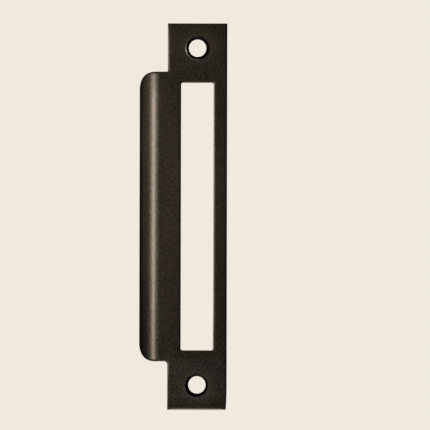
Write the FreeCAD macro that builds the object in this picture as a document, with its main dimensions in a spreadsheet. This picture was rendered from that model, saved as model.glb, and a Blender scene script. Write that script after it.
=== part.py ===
import FreeCAD, Part
import math
import os

import Sketcher

# A door strike plate, stamped and bent from one strip of metal. The plate stands upright,
# +Z up, with its face towards -Y and its curved lip at -X, where the latch first meets it.
# The origin lies midway between the two screws, on the flat back that sits on the wood.
# Lengths are in millimetres and angles in degrees.

# Driving sizes. The opening, the screw holes and the lip are placed from the plate's ends.

SIZES = [
    ("plate_width", "24.0", "flat plate, side to side"),
    ("plate_length", "156.0", "flat plate, end to end"),
    ("sheet_thickness", "1.5", "the strip that the whole piece is stamped from"),
    ("opening_width", "13.2", "opening for latch and bolt, side to side"),
    ("opening_from_end", "23.95", "solid plate between each end and the opening"),
    ("opening_corner_radius", "0.8", "inside corners of the opening"),
    ("screw_from_end", "10.0", "each end of the plate to the centre of its screw hole"),
    ("screw_hole_diameter", "7.0", "through hole for the screw"),
    ("countersink_diameter", "9.2", "mouth of the cone for the screw's head"),
    ("countersink_angle", "90.0", "full angle of that cone"),
    ("lip_from_end", "19.5", "bare edge of the plate between each end and the lip"),
    ("lip_flat_reach", "3.2", "flat part of the lip, from the plate's edge to the bend"),
    ("lip_bend_radius", "11.0", "bend of the lip, on its front face"),
    ("lip_bend_angle", "50.0", "turn of the bend, from the plate's face to the lip's tip"),
    ("lip_corner_radius", "7.2", "rounded outer corners of the lip"),
    ("upper_root_radius", "0.4", "inside corner above the lip, against the plate's edge"),
    ("lower_root_radius", "1.2", "inside corner below the lip, against the plate's edge"),
    ("front_edge_round", "0.45", "rolled edge that stamping and tumbling leave in front"),
]

OPENING_LENGTH = "Sizes.plate_length - 2 * Sizes.opening_from_end"
SCREW_SPACING = "Sizes.plate_length - 2 * Sizes.screw_from_end"
LIP_LENGTH = "Sizes.plate_length - 2 * Sizes.lip_from_end"
LIP_TURN = "Sizes.lip_bend_angle * 1deg"

# The rolled edge takes at most this share of the sheet's thickness
ROUND_SHARE = 0.45
FRONT_ROUND = f"min(Sizes.front_edge_round; Sizes.sheet_thickness * {ROUND_SHARE})"

document = FreeCAD.newDocument("door_strike_plate")
sheet = document.addObject("Spreadsheet::Sheet", "Sizes")
for row, (alias, value, meaning) in enumerate(SIZES, start=1):
    sheet.set(f"A{row}", alias)
    sheet.set(f"B{row}", value)
    sheet.set(f"C{row}", meaning)
    sheet.setAlias(f"B{row}", alias)
document.recompute()


# Helpers for sizes, sketches and edges

CLOSE = 1e-4
UPWARD = FreeCAD.Vector(0, 0, 1)


def value_of(expression):
    """The number that an expression in the sheet's names gives."""
    return float(sheet.evalExpression(expression))


def size(alias):
    """The number that the sheet holds under this name."""
    return value_of(f"Sizes.{alias}")


def origin_plane(body, role):
    """One of the body's own origin planes."""
    return [feature for feature in body.Origin.OriginFeatures if feature.Role == role][0]


def new_sketch(body, name, role):
    """An empty sketch on one of the body's own origin planes."""
    sketch = body.newObject("Sketcher::SketchObject", name)
    sketch.AttachmentSupport = [(origin_plane(body, role), "")]
    sketch.MapMode = "FlatFace"
    return sketch


def rule(sketch, kind, *where):
    """A constraint with no size, such as Horizontal or Coincident."""
    sketch.addConstraint(Sketcher.Constraint(kind, *where))


def bound(sketch, kind, *where, to):
    """A length, radius or diameter that follows an expression in the sheet's names."""
    index = sketch.addConstraint(Sketcher.Constraint(kind, *where, value_of(to)))
    sketch.setExpression(f"Constraints[{index}]", to)


def closed_chain(sketch, corners):
    """Straight sides through the corners in turn, joined end to end and closed."""
    for start, end in zip(corners, corners[1:] + corners[:1]):
        sketch.addGeometry(Part.LineSegment(start, end))
    for side in range(len(corners)):
        rule(sketch, "Coincident", side, 2, (side + 1) % len(corners), 1)


def centred_rectangle(sketch, width, length):
    """A rectangle about the sketch's origin, its width and length bound to expressions."""
    x = value_of(width) / 2
    y = value_of(length) / 2
    corners = [
        FreeCAD.Vector(-x, -y),
        FreeCAD.Vector(x, -y),
        FreeCAD.Vector(x, y),
        FreeCAD.Vector(-x, y),
    ]
    closed_chain(sketch, corners)
    for level in (0, 2):
        rule(sketch, "Horizontal", level)
    for upright in (1, 3):
        rule(sketch, "Vertical", upright)
    rule(sketch, "Symmetric", 0, 1, 2, 1, -1, 1)
    bound(sketch, "DistanceX", 0, 1, 0, 2, to=width)
    bound(sketch, "DistanceY", 1, 1, 1, 2, to=length)


def edges_that(shape, is_wanted):
    """Names of the shape's edges that pass a test, as a feature's list of edges needs them."""
    return [f"Edge{n}" for n, edge in enumerate(shape.Edges, start=1) if is_wanted(edge)]


def middle(edge):
    """The point halfway along the edge."""
    return edge.valueAt((edge.FirstParameter + edge.LastParameter) / 2)


def fillet(body, base, name, edge_names, radius):
    """Rounds the named edges of the base feature with a radius bound to an expression."""
    feature = body.newObject("PartDesign::Fillet", name)
    feature.Base = (base, edge_names)
    feature.setExpression("Radius", radius)
    document.recompute()
    return feature


# Flat plate: its back lies in the plane Y = 0 and its face at Y = -sheet_thickness

strike_plate = document.addObject("PartDesign::Body", "strike_plate")
strike_plate.Label = "strike_plate"

plate_outline = new_sketch(strike_plate, "plate_outline", "XZ_Plane")
centred_rectangle(plate_outline, "Sizes.plate_width", "Sizes.plate_length")
plate = strike_plate.newObject("PartDesign::Pad", "plate")
plate.Profile = plate_outline
plate.setExpression("Length", "Sizes.sheet_thickness")
document.recompute()


# Lip: the sheet's own section, a short flat and then one bend, drawn looking down from +Z
# and carried along the lip's length. Both faces of the bend turn about the same centre,
# which lies behind the plate.


def draw_lip_section(sketch):
    """The lip's closed section, from the plate's edge to the tip, in its true thickness."""
    turn = math.radians(size("lip_bend_angle"))
    front_radius = size("lip_bend_radius")
    back_radius = front_radius - size("sheet_thickness")
    edge_x = -size("plate_width") / 2
    bend_x = edge_x - size("lip_flat_reach")
    front_y = -size("sheet_thickness")
    centre = FreeCAD.Vector(bend_x, front_y + front_radius)
    outward = FreeCAD.Vector(-math.sin(turn), -math.cos(turn))
    front_root = FreeCAD.Vector(edge_x, front_y)
    back_root = FreeCAD.Vector(edge_x, 0)
    front_bend = FreeCAD.Vector(bend_x, front_y)
    back_bend = FreeCAD.Vector(bend_x, 0)
    front_tip = centre + outward * front_radius
    back_tip = centre + outward * back_radius
    bend = (1.5 * math.pi - turn, 1.5 * math.pi)
    front_circle = Part.Circle(centre, UPWARD, front_radius)
    back_circle = Part.Circle(centre, UPWARD, back_radius)

    front_flat = sketch.addGeometry(Part.LineSegment(front_bend, front_root))
    root = sketch.addGeometry(Part.LineSegment(front_root, back_root))
    back_flat = sketch.addGeometry(Part.LineSegment(back_root, back_bend))
    back_arc = sketch.addGeometry(Part.ArcOfCircle(back_circle, *bend))
    tip = sketch.addGeometry(Part.LineSegment(back_tip, front_tip))
    front_arc = sketch.addGeometry(Part.ArcOfCircle(front_circle, *bend))

    rule(sketch, "Coincident", front_flat, 2, root, 1)
    rule(sketch, "Coincident", root, 2, back_flat, 1)
    rule(sketch, "Tangent", back_arc, 2, back_flat, 2)
    rule(sketch, "Coincident", tip, 1, back_arc, 1)
    rule(sketch, "Coincident", tip, 2, front_arc, 1)
    rule(sketch, "Tangent", front_arc, 2, front_flat, 1)
    rule(sketch, "Coincident", front_arc, 3, back_arc, 3)
    rule(sketch, "PointOnObject", front_arc, 3, tip)
    rule(sketch, "PointOnObject", back_flat, 1, -1)
    rule(sketch, "Vertical", root)
    rule(sketch, "Horizontal", front_flat)
    rule(sketch, "Horizontal", back_flat)
    bound(sketch, "DistanceX", back_flat, 1, -1, 1, to="Sizes.plate_width / 2")
    bound(sketch, "DistanceY", root, 1, root, 2, to="Sizes.sheet_thickness")
    bound(sketch, "DistanceX", front_flat, 1, front_flat, 2, to="Sizes.lip_flat_reach")
    bound(sketch, "Radius", front_arc, to="Sizes.lip_bend_radius")
    turned = sketch.addConstraint(Sketcher.Constraint("Angle", front_arc, turn))
    sketch.setExpression(f"Constraints[{turned}]", LIP_TURN)


lip_section = new_sketch(strike_plate, "lip_section", "XY_Plane")
draw_lip_section(lip_section)
lip = strike_plate.newObject("PartDesign::Pad", "lip")
lip.Profile = lip_section
lip.SideType = "Symmetric"
lip.setExpression("Length", LIP_LENGTH)
document.recompute()


# Rounded outer corners of the lip. They are cut square to the lip's tip, so the cutter's
# outline is drawn in the plane that touches the bend's outside at the tip, with the
# sketch's X running from the tip towards the plate and its Y up along the lip. The upper
# corner is drawn, and the lower one is its mirror image.


def draw_corner_waste(sketch):
    """What the cutter takes from the lip's upper corner, outside a quarter circle."""
    radius = size("lip_corner_radius")
    past = size("sheet_thickness")
    end_y = value_of(LIP_LENGTH) / 2
    centre = FreeCAD.Vector(radius, end_y - radius)
    on_end = FreeCAD.Vector(radius, end_y)
    on_tip = FreeCAD.Vector(0, centre.y)
    above_end = FreeCAD.Vector(radius, end_y + past)
    outside = FreeCAD.Vector(-past, end_y + past)
    beside_tip = FreeCAD.Vector(-past, centre.y)
    circle = Part.Circle(centre, UPWARD, radius)

    arc = sketch.addGeometry(Part.ArcOfCircle(circle, math.pi / 2, math.pi))
    up = sketch.addGeometry(Part.LineSegment(on_end, above_end))
    over = sketch.addGeometry(Part.LineSegment(above_end, outside))
    down = sketch.addGeometry(Part.LineSegment(outside, beside_tip))
    back = sketch.addGeometry(Part.LineSegment(beside_tip, on_tip))

    rule(sketch, "Coincident", arc, 1, up, 1)
    rule(sketch, "Coincident", up, 2, over, 1)
    rule(sketch, "Coincident", over, 2, down, 1)
    rule(sketch, "Coincident", down, 2, back, 1)
    rule(sketch, "Coincident", back, 2, arc, 2)
    rule(sketch, "Vertical", up)
    rule(sketch, "Horizontal", over)
    rule(sketch, "Vertical", down)
    rule(sketch, "Horizontal", back)
    rule(sketch, "Vertical", arc, 3, arc, 1)
    rule(sketch, "Horizontal", arc, 3, arc, 2)
    rule(sketch, "PointOnObject", arc, 2, -2)
    bound(sketch, "Radius", arc, to="Sizes.lip_corner_radius")
    bound(sketch, "DistanceX", back, 1, back, 2, to="Sizes.sheet_thickness")
    bound(sketch, "DistanceY", up, 1, up, 2, to="Sizes.sheet_thickness")
    bound(sketch, "DistanceY", -1, 1, up, 1, to=f"({LIP_LENGTH}) / 2")


def lay_on_tip(sketch):
    """Moves and turns a sketch from the plate's back to the plane that touches the tip."""
    around_z = FreeCAD.Rotation(FreeCAD.Vector(0, -1, 0), size("lip_bend_angle"))
    sketch.AttachmentOffset = FreeCAD.Placement(FreeCAD.Vector(), around_z)
    sketch.setExpression("AttachmentOffset.Rotation.Angle", LIP_TURN)
    flat = "Sizes.plate_width / 2 + Sizes.lip_flat_reach"
    sideways = f"Sizes.lip_bend_radius * sin({LIP_TURN})"
    backwards = f"Sizes.lip_bend_radius * (1 - cos({LIP_TURN}))"
    sketch.setExpression("AttachmentOffset.Base.x", f"-({flat} + {sideways})")
    sketch.setExpression("AttachmentOffset.Base.z", f"Sizes.sheet_thickness - {backwards}")


corner_waste = new_sketch(strike_plate, "lip_corner_waste", "XZ_Plane")
lay_on_tip(corner_waste)
draw_corner_waste(corner_waste)
upper_lip_corner = strike_plate.newObject("PartDesign::Pocket", "upper_lip_corner")
upper_lip_corner.Profile = corner_waste
upper_lip_corner.Type = "ThroughAll"
upper_lip_corner.SideType = "Symmetric"
document.recompute()
lower_lip_corner = strike_plate.newObject("PartDesign::Mirrored", "lower_lip_corner")
lower_lip_corner.Originals = [upper_lip_corner]
lower_lip_corner.MirrorPlane = (origin_plane(strike_plate, "XY_Plane"), [""])
strike_plate.Tip = lower_lip_corner
document.recompute()


# Opening for the latch and the bolt, cut through the plate from its back

opening_outline = new_sketch(strike_plate, "opening_outline", "XZ_Plane")
centred_rectangle(opening_outline, "Sizes.opening_width", OPENING_LENGTH)
opening = strike_plate.newObject("PartDesign::Pocket", "opening")
opening.Profile = opening_outline
opening.Type = "ThroughAll"
opening.Reversed = True
document.recompute()


# Screw holes, countersunk from the face, one above and one below the opening

screw_centres = new_sketch(strike_plate, "screw_centres", "XZ_Plane")
screw_centres.setExpression("AttachmentOffset.Base.z", "Sizes.sheet_thickness")
for side in (-1, 1):
    centre = FreeCAD.Vector(0, side * value_of(SCREW_SPACING) / 2)
    circle = Part.Circle(centre, UPWARD, size("screw_hole_diameter") / 2)
    hole = screw_centres.addGeometry(circle)
    bound(screw_centres, "Diameter", hole, to="Sizes.screw_hole_diameter")
rule(screw_centres, "PointOnObject", 0, 3, -2)
rule(screw_centres, "Symmetric", 0, 3, 1, 3, -1, 1)
bound(screw_centres, "DistanceY", 0, 3, 1, 3, to=SCREW_SPACING)
document.recompute()

screw_holes = strike_plate.newObject("PartDesign::Hole", "screw_holes")
screw_holes.Profile = screw_centres
document.recompute()
screw_holes.DepthType = "ThroughAll"
screw_holes.HoleCutType = "Countersink"
screw_holes.HoleCutCustomValues = True
screw_holes.setExpression("Diameter", "Sizes.screw_hole_diameter")
screw_holes.setExpression("HoleCutDiameter", "Sizes.countersink_diameter")
screw_holes.setExpression("HoleCutCountersinkAngle", "Sizes.countersink_angle * 1deg")
document.recompute()


# Inside corners: the opening's four, and the two where the lip leaves the plate. They all
# run straight through the plate's thickness.


def goes_through_plate(edge):
    """Whether the edge is straight and runs from the plate's face to its back."""
    return isinstance(edge.Curve, Part.Line) and abs(edge.Curve.Direction.y) > 1 - CLOSE


def is_opening_corner(edge):
    """Whether the edge is one of the opening's four corners."""
    point = middle(edge)
    at_side = abs(abs(point.x) - size("opening_width") / 2) < CLOSE
    at_end = abs(abs(point.z) - value_of(OPENING_LENGTH) / 2) < CLOSE
    return goes_through_plate(edge) and at_side and at_end


def is_lip_root(edge, side):
    """Whether the edge is the corner between plate and lip, above (1) or below (-1) it."""
    point = middle(edge)
    at_edge = abs(point.x + size("plate_width") / 2) < CLOSE
    at_end = abs(point.z - side * value_of(LIP_LENGTH) / 2) < CLOSE
    return goes_through_plate(edge) and at_edge and at_end


opening_corners = fillet(
    strike_plate,
    screw_holes,
    "opening_corners",
    edges_that(screw_holes.Shape, is_opening_corner),
    "Sizes.opening_corner_radius",
)
upper_root = fillet(
    strike_plate,
    opening_corners,
    "upper_root",
    edges_that(opening_corners.Shape, lambda edge: is_lip_root(edge, 1)),
    "Sizes.upper_root_radius",
)
lower_root = fillet(
    strike_plate,
    upper_root,
    "lower_root",
    edges_that(upper_root.Shape, lambda edge: is_lip_root(edge, -1)),
    "Sizes.lower_root_radius",
)


# Rolled front edge, round the whole outline and round the opening. The screw holes keep
# the sharp rims of their cones.


def is_front_face(face):
    """Whether the face is part of the front skin: the plate's face or the bend's outside."""
    if isinstance(face.Surface, Part.Plane):
        u, v = face.Surface.parameter(face.CenterOfMass)
        faces_front = face.normalAt(u, v).y < -1 + CLOSE
        return faces_front and abs(face.CenterOfMass.y + size("sheet_thickness")) < CLOSE
    if isinstance(face.Surface, Part.Cylinder):
        same_radius = abs(face.Surface.Radius - size("lip_bend_radius")) < CLOSE
        upright = abs(face.Surface.Axis.z) > 1 - CLOSE
        return same_radius and upright
    return False


def front_rim(shape):
    """Edges where the front skin ends, apart from the rims of the screw holes."""
    skin = [face for face in shape.Faces if is_front_face(face)]
    hole_radius = size("countersink_diameter") / 2

    def is_rim(edge):
        borders = sum(any(edge.isSame(other) for other in face.Edges) for face in skin)
        is_circle = isinstance(edge.Curve, Part.Circle)
        on_hole = is_circle and abs(edge.Curve.Radius - hole_radius) < CLOSE
        return borders == 1 and not on_hole

    return edges_that(shape, is_rim)


front_edges = fillet(
    strike_plate,
    lower_root,
    "front_edges",
    front_rim(lower_root.Shape),
    FRONT_ROUND,
)
strike_plate.Placement = FreeCAD.Placement()
document.recompute()


# Check every object and the finished solid, then write it


def check_model():
    """Stops the script where a feature failed or the finished piece isn't one sound solid."""
    for item in document.Objects:
        if "Invalid" in item.State or "Error" in item.State:
            raise RuntimeError(f"{item.Name} failed to build: {item.State}")
    shape = strike_plate.Shape
    if shape.isNull() or not shape.isValid() or len(shape.Solids) != 1:
        raise RuntimeError("the strike plate isn't one valid solid")
    upper_cut = lip.Shape.Volume - upper_lip_corner.Shape.Volume
    lower_cut = upper_lip_corner.Shape.Volume - lower_lip_corner.Shape.Volume
    if upper_cut <= 0 or abs(upper_cut - lower_cut) > upper_cut * CLOSE:
        raise RuntimeError("the lip's two outer corners aren't cut alike")
    slot_cut = lower_lip_corner.Shape.Volume - opening.Shape.Volume
    slot_area = size("opening_width") * value_of(OPENING_LENGTH)
    slot_volume = slot_area * size("sheet_thickness")
    if abs(slot_cut - slot_volume) > slot_volume * CLOSE:
        raise RuntimeError("the opening doesn't go through the plate")
    if screw_holes.Shape.Volume >= opening.Shape.Volume:
        raise RuntimeError("the screw holes cut nothing")


check_model()
os.makedirs("parts", exist_ok=True)
strike_plate.Shape.exportStep(f"parts/{strike_plate.Label}.step")
print(f"{strike_plate.Label}: one solid of {strike_plate.Shape.Volume:.1f} cubic millimetres")
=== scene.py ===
# %% [markdown]
# # A door strike plate in dark bronze
# A strike plate is screwed to the frame of a door. Its long opening takes the latch and the bolt,
# and its lip curls back round the frame's edge, so that the latch rides up it as the door closes.
# The part is one stamping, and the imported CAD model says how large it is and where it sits.

import math

import bpy
import numpy as np
from mathutils import Matrix
from mathutils.geometry import delaunay_2d_cdt


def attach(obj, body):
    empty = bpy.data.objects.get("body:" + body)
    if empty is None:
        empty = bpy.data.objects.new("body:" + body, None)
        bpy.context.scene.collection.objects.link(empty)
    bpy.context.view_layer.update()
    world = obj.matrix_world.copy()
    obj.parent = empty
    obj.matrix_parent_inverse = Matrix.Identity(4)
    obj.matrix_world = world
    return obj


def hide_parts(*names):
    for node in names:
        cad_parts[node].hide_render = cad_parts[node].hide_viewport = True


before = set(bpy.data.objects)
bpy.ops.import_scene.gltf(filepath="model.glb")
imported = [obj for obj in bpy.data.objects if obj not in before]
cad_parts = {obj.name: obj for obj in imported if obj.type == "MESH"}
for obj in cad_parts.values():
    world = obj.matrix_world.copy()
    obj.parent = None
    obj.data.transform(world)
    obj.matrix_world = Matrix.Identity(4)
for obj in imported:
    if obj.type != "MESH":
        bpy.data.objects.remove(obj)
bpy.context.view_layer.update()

# %% [markdown]
# ## The blank, laid out flat
# The press starts from flat sheet: a long plate with a wide ear on its left side that becomes the
# lip. The blank could be drawn bent from the start, but its outline is simple only while it is
# flat, so it is laid out flat here and rolled later, as in the press. Every length is in mm.
# The first coordinate runs across the sheet and the second runs up it.

# %% Sizes of the blank
mm = 0.001
half_width = 12.0
half_length = 78.0
sheet = 1.5
half_opening = 6.6
half_opening_length = 54.05
opening_corner = 0.8
screw_height = 68.0
lip_half_length = 58.5
lip_corner = 7.2
upper_root = 0.4
lower_root = 1.2
bend_start = -15.2
bend_radius = 11.0
bend_turn = math.radians(49.85)
corner_clear = 2.2
tip = bend_start - bend_radius * bend_turn - 0.02
print("the flat blank reaches from", round(tip, 2), "to", half_width, "mm across")

# %% Helpers for outlines


def run(start, stop, step):
    """Points at even steps on the straight line from start to stop, without stop itself."""
    start, stop = np.array(start, float), np.array(stop, float)
    count = max(1, round(float(np.linalg.norm(stop - start)) / step))
    return start + (stop - start) * (np.arange(count) / count)[:, None]


def side(start, stop, step):
    """Points from start to stop, without stop itself. Both ends are square corners, where the
    rolled edge is mitred, so no other point lies within corner_clear of them."""
    start, stop = np.array(start, float), np.array(stop, float)
    inset = (stop - start) / np.linalg.norm(stop - start) * corner_clear
    return np.concatenate([[start], run(start + inset, stop - inset, step), [stop - inset]])


def sweep(centre, radius, first, last, count):
    """Points on an arc: centre plus radius times the cosine and sine of angles from first to
    last, in degrees."""
    turn = np.radians(np.linspace(first, last, count))
    return np.array(centre) + radius * np.stack([np.cos(turn), np.sin(turn)], axis=1)


def lip_corner_points(count):
    """The rounded corner of the lip. Seen square to the tip it is a quarter circle, so a point
    that is h away from the tip there is an arc of bend_radius * asin(h / bend_radius) away from
    it on the sheet. The points run from the lip's end to its tip, above the middle."""
    turn = np.linspace(0.0, math.pi / 2, count)
    away = lip_corner * (1 - np.sin(turn))
    up = lip_half_length - lip_corner * (1 - np.cos(turn))
    return np.stack([tip + bend_radius * np.arcsin(away / bend_radius), up], axis=1)


# %% Outline of the blank
corner = lip_corner_points(30)
corner_start = corner[0, 0]
outline = np.concatenate([
    side((half_width, -half_length), (half_width, half_length), 1.5),
    side((half_width, half_length), (-half_width, half_length), 1.0),
    side((-half_width, half_length), (-half_width, lip_half_length + upper_root), 1.5),
    sweep((-half_width - upper_root, lip_half_length + upper_root), upper_root, 0, -90, 7),
    run((-half_width - upper_root, lip_half_length), (corner_start, lip_half_length), 0.35)[1:],
    corner,
    run(corner[-1], corner[-1] * (1, -1), 1.5)[1:],
    corner[::-1] * (1, -1),
    run((corner_start, -lip_half_length), (-half_width - lower_root, -lip_half_length), 0.35)[1:],
    sweep((-half_width - lower_root, -lip_half_length - lower_root), lower_root, 90, 0, 9),
    side((-half_width, -lip_half_length - lower_root), (-half_width, -half_length), 1.5)[1:],
    side((-half_width, -half_length), (half_width, -half_length), 1.0),
])
print(len(outline), "points go round the blank")

# %% [markdown]
# ## The opening and the two screw holes
# The opening is punched with small rounded corners, and the screw holes are drilled and then
# countersunk. Their outlines run the other way round, clockwise, so that the sheet always lies on
# the left hand of an outline, and one rule can shrink or grow them all.

# %% Outlines of the opening and the holes
inner = np.array([half_opening - opening_corner, half_opening_length - opening_corner])
opening = np.concatenate([
    sweep(inner * (1, 1), opening_corner, 90, 0, 8),
    run((half_opening, inner[1]), (half_opening, -inner[1]), 1.5)[1:],
    sweep(inner * (1, -1), opening_corner, 0, -90, 8),
    run((inner[0], -half_opening_length), (-inner[0], -half_opening_length), 1.0)[1:],
    sweep(inner * (-1, -1), opening_corner, -90, -180, 8),
    run((-half_opening, -inner[1]), (-half_opening, inner[1]), 1.5)[1:],
    sweep(inner * (-1, 1), opening_corner, 180, 90, 8),
    run((-inner[0], half_opening_length), (inner[0], half_opening_length), 1.0)[1:],
])
hole = sweep((0, 0), 1.0, 360, 0, 73)[:-1]
print(len(opening), "points go round the opening and", len(hole), "round each hole")

# %% [markdown]
# ## Rolled edges
# A punch drags the sheet's skin down at every edge, and tumbling softens it further, so the front
# edges are not sharp: the face leans over more and more and then drops. That wide soft roll is
# what catches the light as a thin bright line on one side and turns black on the other. A bevel
# would round each edge by one arc, so the section is written down instead, as how far a point
# lies in from the outline and how deep it lies under the face, and carried round every outline.

# %% Section of a rolled edge
rim_height = 0.07
roll_reach = 0.40
roll_depth = 0.23
corner_round = 0.12
burr = 0.10
margin = 0.12
lean = np.linspace(0.0, math.pi / 2, 7)
back_corner = np.stack([burr * (1 - np.cos(lean[::2])),
                        sheet - burr * (1 - np.sin(lean[::2]))], axis=1)


def fall(away):
    """How deep the face lies under its own level: roll_depth times e to the power of minus the
    distance from the edge over roll_reach, less what is left of that at four reaches."""
    rest = math.exp(-4.0)
    return roll_depth * (np.exp(-np.array(away) / roll_reach) - rest) / (1 - rest)


leaning = roll_reach * np.array([4.0, 3.4, 2.85, 2.35, 1.9, 1.55, 1.25, 1.0, 0.78, 0.60, 0.42])
turning = corner_round * (1 - np.sin(lean))
rolled_edge = np.concatenate([
    # on the level face, past the roll
    [[4.0 * roll_reach + margin, rim_height]],
    # over the roll, and round its corner
    np.stack([leaning, rim_height + fall(leaning)], axis=1),
    np.stack([turning, rim_height + fall(turning) + corner_round * (1 - np.cos(lean))], axis=1),
    # down the cut side, round the back corner and on to the back face
    [[0.0, 0.75], [0.0, 1.1]],
    back_corner,
    [[burr + margin, sheet]],
])
print("the rolled edge has", len(rolled_edge), "points from the face round to the back")

# %% [markdown]
# ## Countersunk holes
# Each screw hole is a straight bore with a cone for the screw's head. Cutting the cone throws up a
# low round ridge beside it, which shines as a thin bright ring. The hole could be cut out of the
# sheet by a boolean, but a section carried round the bore gives the ridge its own shape and leaves
# even rows of faces.

# %% Section of a countersunk hole
hole_radius = 3.5
sink_radius = 4.6
bore_start = 1.17
ridge_reach = 0.44
crest = sink_radius + 0.06
wave = np.linspace(0.0, 1.0, 9)
rise = 0.5 * wave + 0.25 * (1 - np.cos(math.pi * wave))
countersink = np.concatenate([
    # on the level face, past the ridge
    [[sink_radius + ridge_reach + margin, rim_height, 0.0]],
    # up the ridge's outer slope to its crest, and over it
    np.stack([crest + (sink_radius + ridge_reach - crest) * (1 - wave),
              np.full(9, rim_height), rise], axis=1),
    [[sink_radius + 0.02, rim_height + 0.012, 1.0], [sink_radius, rim_height + 0.04, 1.0]],
    # down the cone, at 45 degrees
    np.stack([np.linspace(4.5, 3.6, 4), rim_height + np.linspace(0.14, 1.04, 4),
              np.linspace(1.0, 0.0, 4)], axis=1),
    # along the bore
    [[hole_radius + 0.02, bore_start - 0.04, 0.0], [hole_radius, bore_start, 0.0],
     [hole_radius, 1.30, 0.0]],
    # round the back corner and on to the back face
    np.insert(back_corner + (hole_radius, 0.0), 2, 0.0, axis=1),
    [[hole_radius + burr + margin, sheet, 0.0]],
])
print("the countersink has", len(countersink), "points, each with radius, depth and lift")

# %% [markdown]
# ## Carrying the section round the outlines
# Each point of an outline moves along the mitre of its two edges, which keeps the roll just as
# wide on both sides of a corner. A round hole needs no mitre: its points move along its radius.

# %% Helpers that carry a section


def left_hand(step):
    """The unit normal on the left of each step of an outline."""
    turned = np.stack([-step[:, 1], step[:, 0]], axis=1)
    return turned / np.linalg.norm(turned, axis=1)[:, None]


def mitres(loop):
    """How far each point moves when its outline draws in by one: the sum of the normals of its
    two edges, divided by one plus their dot product."""
    before = left_hand(loop - np.roll(loop, 1, axis=0))
    after = left_hand(np.roll(loop, -1, axis=0) - loop)
    return (before + after) / (1 + (before * after).sum(axis=1))[:, None]


def carried(loop, section, small):
    """A grid of points (across, up, depth): outline point plus its mitre times the section's
    distance in from the outline, at the section's depth. small has one number for each point of
    the outline, and scales the distance and, on the front half, the depth under the face."""
    flat = loop[None] + section[:, 0, None, None] * (mitres(loop) * small[:, None])[None]
    depth = section[:, 1, None]
    deep = np.where(depth < sheet / 2, rim_height + (depth - rim_height) * small[None], depth)
    return np.concatenate([flat, deep[:, :, None]], axis=2)


def turned_hole(height, ridge, cone_off):
    """A grid of points round a screw hole: the section's radius times a unit circle, moved to
    the hole's height, at the section's depth less its lift times the ridge's height there. The
    cone was cut a little off the hole's axis, so the circles move by cone_off times how far they
    lie up the cone, and on the back they don't."""
    radius, depth, lift = countersink.T
    up_the_cone = np.clip((radius - hole_radius) / (sink_radius - hole_radius), 0.0, 1.0)
    up_the_cone = np.where(depth <= bore_start, up_the_cone, 0.0)
    flat = (radius[:, None, None] * hole[None] + np.array([0.0, height])
            + up_the_cone[:, None, None] * np.array(cone_off))
    deep = depth[:, None] - lift[:, None] * ridge[None]
    return np.concatenate([flat, deep[:, :, None]], axis=2)


print("a square corner's mitre is", mitres(np.array([[0, 0], [1, 0], [1, 1], [0, 1]]))[0])

# %% [markdown]
# ## How wide each roll is
# On the real plate the roll isn't the same all round: it is widest along the bottom and at the top
# of the opening, where the photograph shows the broadest bright lines, and narrowest beside the
# lower screw hole. The ridge round the upper hole stands highest below it. A separate section for
# each edge would leave steps, so each point of an outline gets a scale of its own.

# %% Bands of rolled edge
usual_roll, bottom_roll = 0.78, 1.2
left_roll = np.interp(outline[:, 1], (-66, -60, 60, 66), (0.45, 0.80, 0.80, 0.74))
from_left = np.clip((outline[:, 0] + half_width) / 3.0, 0.0, 1.0)
outline_roll = left_roll + (usual_roll - left_roll) * from_left
on_bottom = (outline[:, 1] < 0.01 - half_length) & (np.abs(outline[:, 0]) < half_width - 0.01)
outline_roll = np.where(on_bottom, bottom_roll, outline_roll)
opening_roll = np.interp(opening[:, 1], (inner[1], half_opening_length), (0.72, 1.25))
downward = np.clip(-hole @ np.array([0.27, 0.96]), 0.0, 1.0)
upper_ridge = 0.034 + 0.098 * downward
lower_ridge = np.full(len(hole), 0.012)
upper_cone_off, lower_cone_off = (0.07, 0.09), (-0.18, -0.18)
bands = [carried(outline, rolled_edge, outline_roll),
         carried(opening, rolled_edge, opening_roll),
         turned_hole(screw_height, upper_ridge, upper_cone_off),
         turned_hole(-screw_height, lower_ridge, lower_cone_off)]
print("bands of", [band.shape[0] * band.shape[1] for band in bands], "points")

# %% [markdown]
# ## Filling the two skins
# Between the bands lie the front skin and the back skin. A single many-sided face would do for a
# flat sheet, but this one is rolled later, so it needs rows of points across the lip. A grid of
# points is laid over the blank, close together across the lip and wide apart elsewhere, and
# Blender's own triangulation joins it to the bands without a seam.

# %% Grid of points over the blank
across = np.concatenate([np.arange(tip + 0.4, bend_start, 0.36),
                         np.arange(bend_start, half_width, 1.7)])
upward = np.linspace(1 - half_length, half_length - 1, 89)
lattice = np.stack(np.meshgrid(across, upward, indexing="ij"), axis=2).reshape(-1, 2)
nearest = 0.42


def inside(points, loops):
    """True where a ray to the right crosses the outlines an odd number of times: in the sheet,
    and not in an opening."""
    crossings = np.zeros(len(points), int)
    for loop in loops:
        a, b = loop, np.roll(loop, -1, axis=0)
        above = (a[None, :, 1] > points[:, None, 1]) != (b[None, :, 1] > points[:, None, 1])
        rise = np.where(b[:, 1] == a[:, 1], 1.0, b[:, 1] - a[:, 1])
        at = a[None, :, 0] + (points[:, None, 1] - a[None, :, 1]) * ((b[:, 0] - a[:, 0]) / rise)
        crossings += (above & (at > points[:, None, 0])).sum(axis=1)
    return crossings % 2 == 1


def clear_of(points, loops, gap):
    """True where a point is further than gap from every outline's points."""
    near = np.full(len(points), 1e9)
    for loop in loops:
        away = np.linalg.norm(points[:, None] - loop[None], axis=2).min(axis=1)
        near = np.minimum(near, away)
    return near > gap


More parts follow.
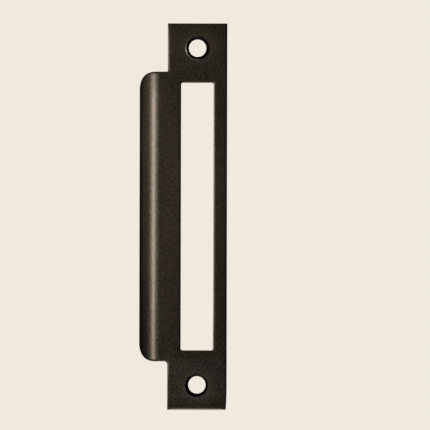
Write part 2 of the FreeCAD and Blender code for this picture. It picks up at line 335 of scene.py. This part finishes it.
def filled(loops):
    """Grid points and triangles of one skin: the outlines' points come first, in their order,
    then the grid's. A triangle is kept where its middle lies in the sheet."""
    spare = lattice[inside(lattice, loops)]
    spare = spare[clear_of(spare, loops, nearest)]
    points = np.concatenate([*loops, spare])
    first = np.cumsum([0] + [len(loop) for loop in loops])
    ties = np.concatenate([
        start + np.stack([np.arange(len(loop)), (np.arange(len(loop)) + 1) % len(loop)], axis=1)
        for start, loop in zip(first, loops)])
    out = delaunay_2d_cdt([tuple(p) for p in points.tolist()], ties.tolist(), [], 0, 1e-7, True)
    source = np.array([found[0] for found in out[3]])
    triangles = source[np.array(out[2])]
    corners = points[triangles]
    one, two = corners[:, 1] - corners[:, 0], corners[:, 2] - corners[:, 0]
    area = one[:, 0] * two[:, 1] - one[:, 1] * two[:, 0]
    triangles = np.where(area[:, None] < 0, triangles[:, ::-1], triangles)
    keep = inside(corners.mean(axis=1), loops) & (np.abs(area) > 1e-9)
    return spare, triangles[keep]


front_points, front_triangles = filled([band[0, :, :2] for band in bands])
back_points, back_triangles = filled([band[-1, :, :2] for band in bands])
print(len(front_triangles), "triangles in the front skin and", len(back_triangles), "in the back")

# %% [markdown]
# ## Joining bands and skins
# The bands and the skins share the points along their borders by number, so the sheet is closed
# all round and nothing has to be merged afterwards.

# %% One list of points and one of faces
counts = [band.shape[0] * band.shape[1] for band in bands]
starts = np.cumsum([0, *counts])
front_first = starts[-1]
back_first = front_first + len(front_points)


def band_faces(band, start):
    """Four-sided faces of a band: each joins two neighbours on one row of the section to the same
    two on the next row, turned so that it faces outward."""
    rows, length = band.shape[:2]
    row, place = np.meshgrid(np.arange(rows - 1), np.arange(length), indexing="ij")
    after = (place + 1) % length
    faces = [row * length + place, (row + 1) * length + place,
             (row + 1) * length + after, row * length + after]
    return start + np.stack(faces, axis=2).reshape(-1, 4)


def border_numbers(row):
    """The numbers of the bands' points on one row of the section, in order."""
    return np.concatenate([
        start + (band.shape[0] + row if row < 0 else row) * band.shape[1] + np.arange(band.shape[1])
        for start, band in zip(starts, bands)])


front_numbers = np.concatenate([border_numbers(0), front_first + np.arange(len(front_points))])
back_numbers = np.concatenate([border_numbers(-1), back_first + np.arange(len(back_points))])
blank = np.concatenate([
    *[band.reshape(-1, 3) for band in bands],
    np.column_stack([front_points, np.full(len(front_points), rim_height)]),
    np.column_stack([back_points, np.full(len(back_points), sheet)])])
quads = np.concatenate([band_faces(band, start) for band, start in zip(bands, starts)])
triangles = np.concatenate([front_numbers[front_triangles], back_numbers[back_triangles][:, ::-1]])
print(len(blank), "points,", len(quads), "four-sided faces and", len(triangles), "triangles")

# %% [markdown]
# ## Rolling the lip
# The lip is rolled back round a former. The face turns about an axis that stands behind the
# plate: up to the start of the bend nothing moves, and past it a point turns by its distance from
# there, divided by the bend's radius. Deeper points lie nearer the axis, so the sheet keeps its
# thickness.

# %% Roll the flat blank


def rolled(points):
    """Flat points (across, up, depth) to points in the frame. Past bend_start the angle is
    (bend_start - across) / bend_radius, and the point sits at bend_radius - depth from the
    axis."""
    flat, up, depth = points.T
    angle = np.clip((bend_start - flat) / bend_radius, 0.0, None)
    reach = bend_radius - depth
    x = np.where(angle > 0, bend_start - reach * np.sin(angle), flat)
    y = bend_radius - sheet - reach * np.cos(angle)
    return np.stack([x, y, up], axis=1)


place = rolled(blank)
print("rolled box in mm:", np.round([place.min(axis=0), place.max(axis=0)], 3).tolist())

# %% [markdown]
# ## A plate that is not quite flat
# A press never leaves a plate quite flat. Its two long limbs lean a little to one side at some
# heights and to the other side at others, by up to about a degree, and on a satin face that
# shows as broad lighter and darker stretches. The lean could be a bump in the finish, but as a
# shape it also shows in the other views.

# %% Let the limbs lean
most_lean = math.radians(0.50)
lip_side = -13.5


def soft_step(height, middle, width):
    """One at middle, falling off on both sides: e to the power of minus the squared distance
    over the squared width."""
    return np.exp(-((height - middle) / width) ** 2)


def leaning_limbs(points):
    """The points moved in depth by the tangent of the lean at their height times how far they
    lie to the right of the middle. Past lip_side, where the lip starts, they move as one."""
    x, y, up = points.T
    lean = most_lean * (soft_step(up, 12.0, 24.0) - 0.9 * soft_step(up, 51.0, 8.0)
                        - 0.75 * soft_step(up, -30.0, 15.0))
    return np.stack([x, y - np.tan(lean) * np.clip(x, lip_side, half_width), up], axis=1)


def twisted_left_limb(points):
    """The same for the left limb alone, which turns about the opening's left edge."""
    x, y, up = points.T
    twist = most_lean * (soft_step(up, 15.0, 18.0) - 0.9 * soft_step(up, 50.0, 6.0))
    past_edge = np.clip(x, lip_side, -half_opening) + half_opening
    return np.stack([x, y - np.tan(twist) * past_edge, up], axis=1)


place = twisted_left_limb(leaning_limbs(place))
print("leaning box in mm:", np.round([place.min(axis=0), place.max(axis=0)], 3).tolist())

# %% [markdown]
# ## A worn corner
# The lower right corner of the real plate is drawn in by a third of a millimetre, as if it had
# been filed to drop into its recess, and the punch has dragged the opening's right edge a little
# inward, most of all near its lower end. The outlines could be changed, but their corners have to
# stay square for the mitres, so the finished points are moved instead.

# %% Draw in the lower right corner and the opening's right edge


def drawn_in(points):
    """The points moved to the left: by 0.34 mm times the square of how far they lie down the last
    9 mm of the plate, times how far they lie to the right of the middle, and next to the opening's
    right edge by 0.08 mm, which grows to 0.20 mm near its lower end."""
    x, y, up = points.T
    down = np.clip((-69.0 - up) / 9.0, 0.0, 1.0)
    corner_move = 0.34 * down ** 2 * np.clip(x / half_width, 0.0, 1.0)
    beside = soft_step(x, half_opening, 1.5) * np.clip((58.0 - np.abs(up)) / 4.0, 0.0, 1.0)
    edge_move = (0.08 + 0.12 * soft_step(up, -52.0, 9.0)) * beside
    return np.stack([x - corner_move - edge_move, y, up], axis=1)


place = drawn_in(place)
print("the corner now lies at", round(float(place[place[:, 2] < -77.9, 0].max()), 2), "mm")

# %% [markdown]
# ## The finished piece
# The real plate is one stamping, so all the points become one closed mesh that stands in for the
# CAD model's one solid. Blender could build it face by face, but handing over whole arrays is
# quicker. Faces are shaded smoothly across gentle turns and stay crisp where they turn by more
# than 32 degrees.

# %% Put the numbers into a mesh


def mesh_piece(name, points, quads, triangles):
    """A new mesh object from a list of points in mm and its faces, all set in one go."""
    mesh = bpy.data.meshes.new(name)
    corners = np.concatenate([quads.ravel(), triangles.ravel()]).astype(np.int32)
    sizes = np.concatenate([np.full(len(quads), 4), np.full(len(triangles), 3)])
    mesh.vertices.add(len(points))
    mesh.loops.add(len(corners))
    mesh.polygons.add(len(sizes))
    mesh.vertices.foreach_set("co", (points * mm).astype(np.float32).ravel())
    mesh.loops.foreach_set("vertex_index", corners)
    mesh.polygons.foreach_set("loop_start", (np.cumsum(sizes) - sizes).astype(np.int32))
    mesh.update(calc_edges=True)
    mesh.validate()
    mesh.shade_smooth()
    mesh.set_sharp_from_angle(angle=math.radians(32))
    piece = bpy.data.objects.new(name, mesh)
    bpy.context.scene.collection.objects.link(piece)
    return piece


plate = mesh_piece("plate_with_lip", place, quads, triangles)
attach(plate, "root")
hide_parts("strike_plate")
open_edges = np.zeros(len(plate.data.edges), int)
np.add.at(open_edges, [loop.edge_index for loop in plate.data.loops], 1)
print("edges that don't join two faces:", int((open_edges != 2).sum()))

# %% [markdown]
# ## Dark bronze finish
# The finish is a thin dark bronze coat on steel: almost black, warm where light falls on it, with
# a fine grain and broad faint clouds of brown and olive. Paint could be one brown colour under a
# clear coat, but the dark cones of the screw holes show that hardly any light is scattered, so the
# coat is treated as metal with a dark warm tint, and its grain changes tint and gloss together.

# %% Node helpers


def group_with(name, inputs, outputs):
    """An empty shader node group with the named inputs, each with a value, and outputs."""
    group = bpy.data.node_groups.new(name, "ShaderNodeTree")
    for label, kind, value in inputs:
        socket = group.interface.new_socket(label, in_out="INPUT", socket_type=kind)
        if value is not None:
            socket.default_value = value
    for label, kind in outputs:
        group.interface.new_socket(label, in_out="OUTPUT", socket_type=kind)
    return group, group.nodes.new("NodeGroupInput"), group.nodes.new("NodeGroupOutput")


def node(tree, kind, **settings):
    """A new node with some of its settings changed."""
    made = tree.nodes.new(kind)
    for key, value in settings.items():
        setattr(made, key, value)
    return made


def feed(tree, given, socket):
    """Links a socket to another node's output, or sets it where a plain number is given."""
    if hasattr(given, "links"):
        tree.links.new(given, socket)
    else:
        socket.default_value = given


def noise(tree, vector, scale, detail, roughness=0.5):
    """A noise texture that reads a vector in mm. scale is the number of lumps in a mm."""
    made = node(tree, "ShaderNodeTexNoise", noise_dimensions="3D")
    for label, given in (("Vector", vector), ("Scale", scale), ("Detail", detail),
                         ("Roughness", roughness)):
        feed(tree, given, made.inputs[label])
    return made.outputs["Fac"]


def math_of(tree, operation, *values):
    """The result of a math node that works on the values in their order."""
    made = node(tree, "ShaderNodeMath", operation=operation)
    for number, given in enumerate(values):
        feed(tree, given, made.inputs[number])
    return made.outputs[0]


def sum_of(tree, value, factor, offset):
    """value times factor plus offset."""
    return math_of(tree, "MULTIPLY_ADD", value, factor, offset)


def product(tree, *values):
    """All values multiplied together."""
    total = values[0]
    for value in values[1:]:
        total = math_of(tree, "MULTIPLY", total, value)
    return total


# %% Group: grain and clouds of the finish
mottle, into, out = group_with(
    "grain_and_clouds",
    [("Vector", "NodeSocketVector", None), ("Grain", "NodeSocketFloat", 1.0),
     ("Grain strength", "NodeSocketFloat", 0.5), ("Cloud strength", "NodeSocketFloat", 0.3)],
    [("Shade", "NodeSocketFloat"), ("Warmth", "NodeSocketFloat"), ("Height", "NodeSocketFloat")])
askew = node(mottle, "ShaderNodeMapping")
askew.inputs["Rotation"].default_value = (0.5, 0.7, 0.4)
mottle.links.new(into.outputs["Vector"], askew.inputs["Vector"])
grain = noise(mottle, askew.outputs["Vector"], into.outputs["Grain"], 1.0, 0.6)
cloud = noise(mottle, into.outputs["Vector"], 0.045, 2.0)
warm = noise(mottle, askew.outputs["Vector"], 0.42, 2.0)
grain_part = product(mottle, sum_of(mottle, grain, 1.0, -0.5), into.outputs["Grain strength"])
cloud_part = product(mottle, sum_of(mottle, cloud, 1.0, -0.5), into.outputs["Cloud strength"])
mottle.links.new(math_of(mottle, "ADD", grain_part, cloud_part), out.inputs["Shade"])
mottle.links.new(warm, out.inputs["Warmth"])
mottle.links.new(grain, out.inputs["Height"])
print("the group puts out", [socket.name for socket in out.inputs if socket.name])

# %% [markdown]
# ## Greyer towards the ends
# Towards its ends the plate is painted a little greyer and paler than in the middle. A painted
# picture could hold that, but a mask that rises past one height and falls before another needs no
# picture, so the tint can follow it.

# %% Group: mask of a band between two heights
end_film, into, out = group_with(
    "end_film",
    [("Vector", "NodeSocketVector", None), ("From", "NodeSocketFloat", -72.0),
     ("To", "NodeSocketFloat", -60.0), ("Soft", "NodeSocketFloat", 4.0)],
    [("Mask", "NodeSocketFloat")])
apart = node(end_film, "ShaderNodeSeparateXYZ")
end_film.links.new(into.outputs["Vector"], apart.inputs[0])
height = apart.outputs["Z"]
steps = []
for high, low in ((height, into.outputs["From"]), (into.outputs["To"], height)):
    step = node(end_film, "ShaderNodeMapRange", interpolation_type="SMOOTHSTEP")
    feed(end_film, math_of(end_film, "SUBTRACT", high, low), step.inputs["Value"])
    feed(end_film, sum_of(end_film, into.outputs["Soft"], -0.5, 0.0), step.inputs["From Min"])
    feed(end_film, sum_of(end_film, into.outputs["Soft"], 0.5, 0.0), step.inputs["From Max"])
    steps.append(step.outputs["Result"])
end_film.links.new(product(end_film, *steps), out.inputs["Mask"])
print("the film's mask rises and falls over", into.outputs["Soft"].name)

# %% [markdown]
# ## Round the screw holes
# Round each hole the finish is painted a little paler, most of all next to the cone, and the cone
# itself is painted blacker, as painted shade in the recess. Both depend only on the distance from
# the hole's axis, so one group works out that distance and puts out a mask for each. The paler
# patch may lie off the hole's axis. The depth keeps both masks on the front.

# %% Group: paler patch and painted shade in the cone
hole_wear, into, out = group_with(
    "hole_wear",
    [("Vector", "NodeSocketVector", None), ("Hole", "NodeSocketVector", (0.0, 0.0, 68.0)),
     ("Off axis", "NodeSocketVector", (0.0, 0.0, 0.0)), ("Cone", "NodeSocketFloat", 4.66),
     ("Reach", "NodeSocketFloat", 9.8)],
    [("Paler", "NodeSocketFloat"), ("Cone shade", "NodeSocketFloat")])
from_hole = node(hole_wear, "ShaderNodeVectorMath", operation="SUBTRACT")
hole_wear.links.new(into.outputs["Vector"], from_hole.inputs[0])
hole_wear.links.new(into.outputs["Hole"], from_hole.inputs[1])
from_patch = node(hole_wear, "ShaderNodeVectorMath", operation="SUBTRACT")
hole_wear.links.new(from_hole.outputs["Vector"], from_patch.inputs[0])
hole_wear.links.new(into.outputs["Off axis"], from_patch.inputs[1])


def radius_of(vector):
    """The length of a vector once its depth is left out."""
    level = node(hole_wear, "ShaderNodeVectorMath", operation="MULTIPLY")
    level.inputs[1].default_value = (1.0, 0.0, 1.0)
    hole_wear.links.new(vector, level.inputs[0])
    length = node(hole_wear, "ShaderNodeVectorMath", operation="LENGTH")
    hole_wear.links.new(level.outputs["Vector"], length.inputs[0])
    return length.outputs["Value"]


deep = node(hole_wear, "ShaderNodeSeparateXYZ")
hole_wear.links.new(into.outputs["Vector"], deep.inputs[0])
on_front = math_of(hole_wear, "LESS_THAN", deep.outputs["Y"], -0.3)
near_hole = radius_of(from_hole.outputs["Vector"])
fading = node(hole_wear, "ShaderNodeMapRange")
hole_wear.links.new(radius_of(from_patch.outputs["Vector"]), fading.inputs["Value"])
hole_wear.links.new(into.outputs["Reach"], fading.inputs["From Min"])
hole_wear.links.new(into.outputs["Cone"], fading.inputs["From Max"])
fade_out = fading.outputs["Result"]
outside = math_of(hole_wear, "GREATER_THAN", near_hole, into.outputs["Cone"])
inside_cone = math_of(hole_wear, "LESS_THAN", near_hole, into.outputs["Cone"])
# The cone's mask is used to paint the cone blacker, as painted shade in the recess.
paler_patch = product(hole_wear, fade_out, fade_out, outside, on_front)
hole_wear.links.new(paler_patch, out.inputs["Paler"])
hole_wear.links.new(product(hole_wear, inside_cone, on_front), out.inputs["Cone shade"])
print("the group puts out", [socket.name for socket in out.inputs if socket.name])

# %% [markdown]
# ## The material
# The three groups come together in one metal. All of them read the same thing, the place on the
# plate in mm, so that is made first, with a helper that sets a group down.

# %% Material: dark bronze
bronze = bpy.data.materials.new("dark_bronze_coat")
bronze.use_nodes = True
tree = bronze.node_tree
shader = tree.nodes["Principled BSDF"]
shader.inputs["Metallic"].default_value = 1.0
where = node(tree, "ShaderNodeTexCoord")
in_mm = node(tree, "ShaderNodeMapping")
in_mm.inputs["Scale"].default_value = (1000.0, 1000.0, 1000.0)
tree.links.new(where.outputs["Object"], in_mm.inputs["Vector"])


def placed(group, values):
    """The outputs of a group that reads the place on the plate in mm, with some inputs set."""
    made = node(tree, "ShaderNodeGroup", node_tree=group)
    tree.links.new(in_mm.outputs["Vector"], made.inputs["Vector"])
    for label, value in values.items():
        made.inputs[label].default_value = value
    return made.outputs


def blended(factor, base, colour):
    """The base colour, replaced by a plain colour as far as factor says."""
    made = node(tree, "ShaderNodeMix", data_type="RGBA")
    tree.links.new(factor, made.inputs["Factor"])
    tree.links.new(base, made.inputs["A"])
    made.inputs["B"].default_value = (*colour, 1.0)
    return made.outputs["Result"]


print("the finish is called", bronze.name)

# %% [markdown]
# ## Olive, brown and grey
# The real finish wavers between olive and brown, and its ends are painted greyer. Two colours are
# mixed by soft spots, and the ends' band mask leads over to a third.

# %% Tint and greyer ends
spots = placed(mottle, {"Grain": 1.7, "Grain strength": 2.3, "Cloud strength": 0.5})
tint = node(tree, "ShaderNodeMix", data_type="RGBA")
tint.inputs["A"].default_value = (0.0391, 0.0396, 0.0207, 1.0)
tint.inputs["B"].default_value = (0.0449, 0.0356, 0.0273, 1.0)
tree.links.new(spots["Warmth"], tint.inputs["Factor"])
lower_end = placed(end_film, {"From": -73.6, "To": -57.2})["Mask"]
upper_end = placed(end_film, {"From": 59.0, "To": 72.0})["Mask"]
end_mask = sum_of(tree, upper_end, 0.22, lower_end)
coated = blended(end_mask, tint.outputs["Result"], (0.0521, 0.0504, 0.0384))
print("the olive, the brown and the grey have", len(tree.nodes), "nodes")

# %% [markdown]
# ## Painted highlight and shade, and paler patches
# The last strip above the bottom edge is painted paler, a painted highlight along that edge, and
# the patches round the holes are painted paler too. The strip under the top edge is painted
# darker, as painted shade. Each mask changes the shade, one number that the colour is multiplied
# by at the end. The cones get a blacker colour, as painted shade, and hardly any of the coat, so
# that they stay matt.

# %% Paler patches round the holes, painted shade in the cones and under the top edge, painted highlight along the bottom edge
shade = sum_of(tree, spots["Shade"], 1.0, 1.0)
coat = 0.4
# Round each hole the shade is painted paler, and the cone gets a near-black colour as painted
# shade.
for height, off, patch_off, paling in (
        (screw_height, upper_cone_off, (0.6, 0.0, 0.8), 0.58),
        (-screw_height, lower_cone_off, (0.3, 0.0, -1.0), 0.66)):
    hole_masks = placed(hole_wear, {"Hole": (off[0], 0.0, height + off[1]), "Off axis": patch_off})
    shade = sum_of(tree, hole_masks["Paler"], paling, shade)
    coated = blended(hole_masks["Cone shade"], coated, (0.0170, 0.0110, 0.0180))
    coat = sum_of(tree, hole_masks["Cone shade"], -0.35, coat)
# The strip under the top edge is darkened as painted shade, and the strip along the bottom edge is
# brightened as a painted highlight.
for start, stop, soft, change in ((73.5, 90.0, 4.0, -0.12), (-90.0, -77.0, 0.8, 0.45)):
    strip = placed(end_film, {"From": start, "To": stop, "Soft": soft})
    shade = sum_of(tree, strip["Mask"], change, shade)
print("with the wear there are", len(tree.nodes), "nodes")

# %% [markdown]
# ## Gloss and grain
# The grain changes the shade, the gloss and the height of the skin together, so that a fleck
# which is darker is also a little smoother. A thin coat on top keeps the sharper part of every
# reflection.

# %% Colour, gloss and grain of the skin
shaded = node(tree, "ShaderNodeVectorMath", operation="SCALE")
tree.links.new(coated, shaded.inputs[0])
tree.links.new(shade, shaded.inputs["Scale"])
tree.links.new(shaded.outputs["Vector"], shader.inputs["Base Color"])
tree.links.new(sum_of(tree, spots["Shade"], 0.05, 0.36), shader.inputs["Roughness"])
tree.links.new(coat, shader.inputs["Coat Weight"])
shader.inputs["Coat Roughness"].default_value = 0.24
skin_bump = node(tree, "ShaderNodeBump")
skin_bump.inputs["Strength"].default_value = 1.0
skin_bump.inputs["Distance"].default_value = 0.0000004
tree.links.new(spots["Height"], skin_bump.inputs["Height"])
tree.links.new(skin_bump.outputs["Normal"], shader.inputs["Normal"])
plate.data.materials.append(bronze)
print("the finish has", len(tree.nodes), "nodes")

# %% [markdown]
# ## Floor and surroundings
# The plate hangs in the air in front of a pale sweep, well above a pale floor. The sky of the
# scene gives that pale tone to whatever looks past the plate and to the floor. Mirrored in the
# metal it is dim in front, where the camera stands, and dark at the sides, as in a studio with
# black flags. The floor could be mirrored too, but it would shine into every lower edge, so its
# mirror image is left out and the lowest part of the sky stands for it, more softly.

# %% Surroundings
pale = (0.8632, 0.8228, 0.7230)
world = bpy.data.worlds.new("pale_sweep")
bpy.context.scene.world = world
world.use_nodes = True
sky = world.node_tree
sky.nodes.clear()
ways = node(sky, "ShaderNodeTexCoord")
split = node(sky, "ShaderNodeSeparateXYZ")
sky.links.new(ways.outputs["Generated"], split.inputs[0])
ramp = node(sky, "ShaderNodeValToRGB")
ramp.color_ramp.interpolation = "EASE"
stops = ((0.0, 0.05), (0.30, 0.02), (0.78, 0.02), (1.0, 0.50))
for number, (at, level) in enumerate(stops):
    stop = ramp.color_ramp.elements[number] if number < 2 else ramp.color_ramp.elements.new(at)
    stop.position = at
    stop.color = (pale[0] * level, pale[1] * level, pale[2] * level, 1.0)
sky.links.new(sum_of(sky, split.outputs["Y"], 0.5, 0.5), ramp.inputs["Fac"])
below = node(sky, "ShaderNodeMapRange", interpolation_type="SMOOTHSTEP")
for label, value in (("From Min", -0.55), ("From Max", -0.80), ("To Max", 0.50)):
    below.inputs[label].default_value = value
sky.links.new(split.outputs["Z"], below.inputs["Value"])
with_floor = node(sky, "ShaderNodeVectorMath", operation="MULTIPLY_ADD")
sky.links.new(below.outputs["Result"], with_floor.inputs[0])
with_floor.inputs[1].default_value = pale
sky.links.new(ramp.outputs["Color"], with_floor.inputs[2])
mirrored = node(sky, "ShaderNodeBackground")
sky.links.new(with_floor.outputs["Vector"], mirrored.inputs["Color"])
seen = node(sky, "ShaderNodeBackground")
seen.inputs["Color"].default_value = (*pale, 1.0)
path = node(sky, "ShaderNodeLightPath")
unmirrored = math_of(sky, "MAXIMUM", path.outputs["Is Camera Ray"], path.outputs["Is Diffuse Ray"])
either = node(sky, "ShaderNodeMixShader")
sky.links.new(unmirrored, either.inputs["Fac"])
sky.links.new(mirrored.outputs[0], either.inputs[1])
sky.links.new(seen.outputs[0], either.inputs[2])
sky.links.new(either.outputs[0], node(sky, "ShaderNodeOutputWorld").inputs["Surface"])
bpy.context.scene.view_settings.view_transform = "Standard"
print("the sweep behind the plate is", pale)

# %% Floor
floor_radius, floor_height = 1.6, -0.60
spokes, rings = 96, 12
turn = np.linspace(0, 2 * math.pi, spokes + 1)[:-1]
ring = np.linspace(0.05, 1.0, rings)[:, None] * floor_radius
disc = np.stack([ring * np.cos(turn), ring * np.sin(turn),
                 np.full((rings, spokes), floor_height)], axis=2)
middle = np.array([[0.0, 0.0, floor_height]])
spoke = np.arange(spokes)
fan = np.stack([np.full(spokes, rings * spokes), spoke, (spoke + 1) % spokes], axis=1)
floor = mesh_piece("floor", np.concatenate([disc.reshape(-1, 3), middle]) / mm,
                   band_faces(disc, 0), fan)
floor.visible_glossy = False
print("the floor lies", -floor_height, "m under the middle of the plate")

# %% [markdown]
# ## A floor without an edge
# A sweep has no edge, but a disc does, so the floor's paint grows clearer towards the rim, by its
# distance from the middle. Chalky paint keeps the plate from being mirrored in it.

# %% Material: pale floor that fades out at its rim
paint = bpy.data.materials.new("pale_floor")
paint.use_nodes = True
chalk_tree = paint.node_tree
chalk = chalk_tree.nodes["Principled BSDF"]
chalk.inputs["Base Color"].default_value = (0.76, 0.74, 0.69, 1.0)
chalk.inputs["Roughness"].default_value = 0.9
chalk.inputs["Specular IOR Level"].default_value = 0.1
where = node(chalk_tree, "ShaderNodeTexCoord")
level = node(chalk_tree, "ShaderNodeVectorMath", operation="MULTIPLY")
level.inputs[1].default_value = (1.0, 1.0, 0.0)
chalk_tree.links.new(where.outputs["Object"], level.inputs[0])
from_middle = node(chalk_tree, "ShaderNodeVectorMath", operation="LENGTH")
chalk_tree.links.new(level.outputs["Vector"], from_middle.inputs[0])
fade = node(chalk_tree, "ShaderNodeMapRange", interpolation_type="SMOOTHSTEP")
for label, value in (("From Min", 0.45 * floor_radius), ("From Max", 0.98 * floor_radius),
                     ("To Min", 1.0), ("To Max", 0.0)):
    fade.inputs[label].default_value = value
chalk_tree.links.new(from_middle.outputs["Value"], fade.inputs["Value"])
chalk_tree.links.new(fade.outputs["Result"], chalk.inputs["Alpha"])
floor.data.materials.append(paint)
print("the floor starts to fade", 0.45 * floor_radius, "m from its middle")

# %% [markdown]
# ## Lights
# A tall soft box stands in front on the left, and draws the bright stripe down the lip. A weaker
# glow nearer by gives the face its faint sheen, and two cards further round light the lip's upper
# part and its far side. One wide board lies low in front and lights the edges that face down,
# another hangs high for those that face up, and a box behind the plate shows its back. Nothing
# stands on the right, so the edges there stay black. One big lamp could light everything, but
# the photograph's narrow stripe and dark face need separate ones.

# %% Soft boxes, cards and boards


def soft_light(name, position, aim_height, width, height, brightness, colour):
    """A rectangular light that looks at the plate's axis at aim_height, and that the camera
    doesn't see. Its power is pi times its brightness times its area."""
    data = bpy.data.lights.new(name, "AREA")
    data.shape = "RECTANGLE"
    data.size, data.size_y = width, height
    data.energy = math.pi * brightness * width * height
    data.color = colour
    light = bpy.data.objects.new(name, data)
    bpy.context.scene.collection.objects.link(light)
    back = np.array(position, float) - (0.0, 0.0, aim_height)
    back /= np.linalg.norm(back)
    right = np.cross((0.0, 0.0, 1.0), back)
    right /= np.linalg.norm(right)
    up = np.cross(back, right)
    turned = np.column_stack([right, up, back, position])
    light.matrix_world = Matrix([*turned.tolist(), [0.0, 0.0, 0.0, 1.0]])
    light.visible_camera = False
    return light


def round_the_plate(distance, turn, height):
    """A place at a distance from the plate's middle, turned to the left of straight in front by
    an angle in degrees, at a height in metres."""
    angle = math.radians(turn)
    return (-distance * math.sin(angle), -distance * math.cos(angle), height)


warm, amber, rosy = (1.0, 0.875, 0.865), (1.0, 0.83, 0.70), (1.0, 0.845, 0.885)
lights = [
    soft_light("soft_box", round_the_plate(0.80, 28.4, -0.015), -0.015, 0.11, 0.21, 23.4, warm),
    soft_light("glow", round_the_plate(0.45, 28.6, 0.057), 0.057, 0.20, 0.12, 5.3, warm),
    soft_light("upper_card", round_the_plate(0.45, 50.0, 0.19), 0.19, 0.20, 0.20, 1.2, warm),
    soft_light("left_card", round_the_plate(0.45, 70.0, 0.035), 0.035, 0.19, 0.12, 0.72, amber),
    soft_light("low_board", (0.0, -0.48, -0.48), 0.0, 0.30, 0.14, 7.6, rosy),
    soft_light("high_board", (0.0, -0.54, 0.45), 0.0, 0.30, 0.12, 1.6, warm),
    soft_light("back_box", round_the_plate(0.80, 203.0, 0.10), 0.0, 0.16, 0.34, 6.0, warm),
]
print("lights:", [light.name for light in lights])

# %% [markdown]
# ## Camera
# The photograph looks straight at the plate from far off, so nothing on it grows or shrinks
# with depth. A long lens at 1.5 m does the same. The plate leans by an eighth of a degree, which
# the camera takes up by a small roll.

# %% Camera
frame_width = 0.17360
camera_distance = 1.5
lens = bpy.data.cameras.new("long_lens")
lens.sensor_width = 36.0
lens.lens = 36.0 * camera_distance / frame_width
lens.clip_end = 20.0
camera = bpy.data.objects.new("camera", lens)
bpy.context.scene.collection.objects.link(camera)
camera.location = (0.007165, -sheet * mm - camera_distance, 0.00065)
camera.rotation_euler = (math.pi / 2, math.radians(-0.13), 0.0)
bpy.context.scene.camera = camera
print("the lens is", round(lens.lens, 1), "mm long")

# %% Update the scene
bpy.context.view_layer.update()
